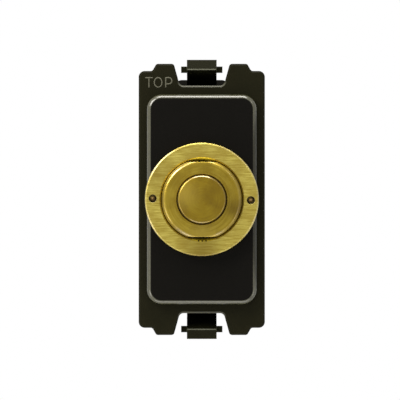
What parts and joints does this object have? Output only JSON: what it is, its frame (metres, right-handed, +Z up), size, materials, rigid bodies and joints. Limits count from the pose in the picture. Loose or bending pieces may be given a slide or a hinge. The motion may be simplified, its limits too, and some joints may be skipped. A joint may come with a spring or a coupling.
{
  "type": "push button light switch",
  "caption": "Clip-in momentary push button switch module: black moulded body with sprung latches, round antique brass button in a brass bush held by a pin-spanner ring nut.",
  "frame": {"origin": "centre of the module in its seat plane, the front face of the flange", "axes": "+Z up along the module's length, -Y out of the front towards the user, +X to the right of someone facing the front"},
  "size_m": [0.025, 0.037, 0.0554],
  "materials": {
    "moulding": "satin black thermoplastic",
    "latch": "satin black thermoplastic",
    "antique_brass": "brushed and lacquered antique brass",
    "fibre": "vulcanised fibre",
    "nylon": "natural nylon",
    "spring_steel": "bright spring steel",
    "copper": "rolled copper alloy",
    "silver": "silver contact alloy",
    "terminal_brass": "drawn brass",
    "plated_steel": "bright zinc plate"
  },
  "bodies": {
    "module": {"front_frame": "moulding", "rear_housing": "moulding", "ring_nut": "antique_brass", "bush": "antique_brass", "bush_washer": "fibre", "guide_cap": "nylon", "guide_ring": "spring_steel", "return_spring": "spring_steel", "top_fixed_contact": "silver", "bottom_fixed_contact": "silver", "top_strap": "copper", "bottom_strap": "copper", "top_terminal_block": "terminal_brass", "bottom_terminal_block": "terminal_brass", "strap_stakes": "terminal_brass", "terminal_screws": "plated_steel"},
    "push": {"button": "antique_brass", "pusher": "nylon", "bridge_clip": "spring_steel", "contact_spring": "spring_steel"},
    "bridge": {"contact_bridge": "copper", "top_moving_contact": "silver", "bottom_moving_contact": "silver"},
    "upper_latch": {"top_latch": "latch"},
    "lower_latch": {"bottom_latch": "latch"}
  },
  "joints": [
    {"name": "button_press", "type": "slide", "parent": "module", "child": "push", "axis": [0, 1, 0], "range_m": [0, 0.0022], "stiffness_N_per_m": 900, "springref_m": -0.003, "deforming": ["return_spring", "contact_spring"]},
    {"name": "bridge_slide", "type": "slide", "parent": "module", "child": "bridge", "axis": [0, 1, 0], "range_m": [0, 0.00158]},
    {"name": "top_latch_squeeze", "type": "hinge", "parent": "module", "child": "upper_latch", "pos_m": [0, 0.0146, 0.0218], "axis": [1, 0, 0], "range_deg": [0, 8], "stiffness_Nm_per_rad": 0.4},
    {"name": "bottom_latch_squeeze", "type": "hinge", "parent": "module", "child": "lower_latch", "pos_m": [0, 0.0146, -0.0218], "axis": [-1, 0, 0], "range_deg": [0, 8], "stiffness_Nm_per_rad": 0.4}
  ],
  "couplings": [
    {"joint": "bridge_slide", "follows": "button_press", "ratio": 0.718}
  ]
}
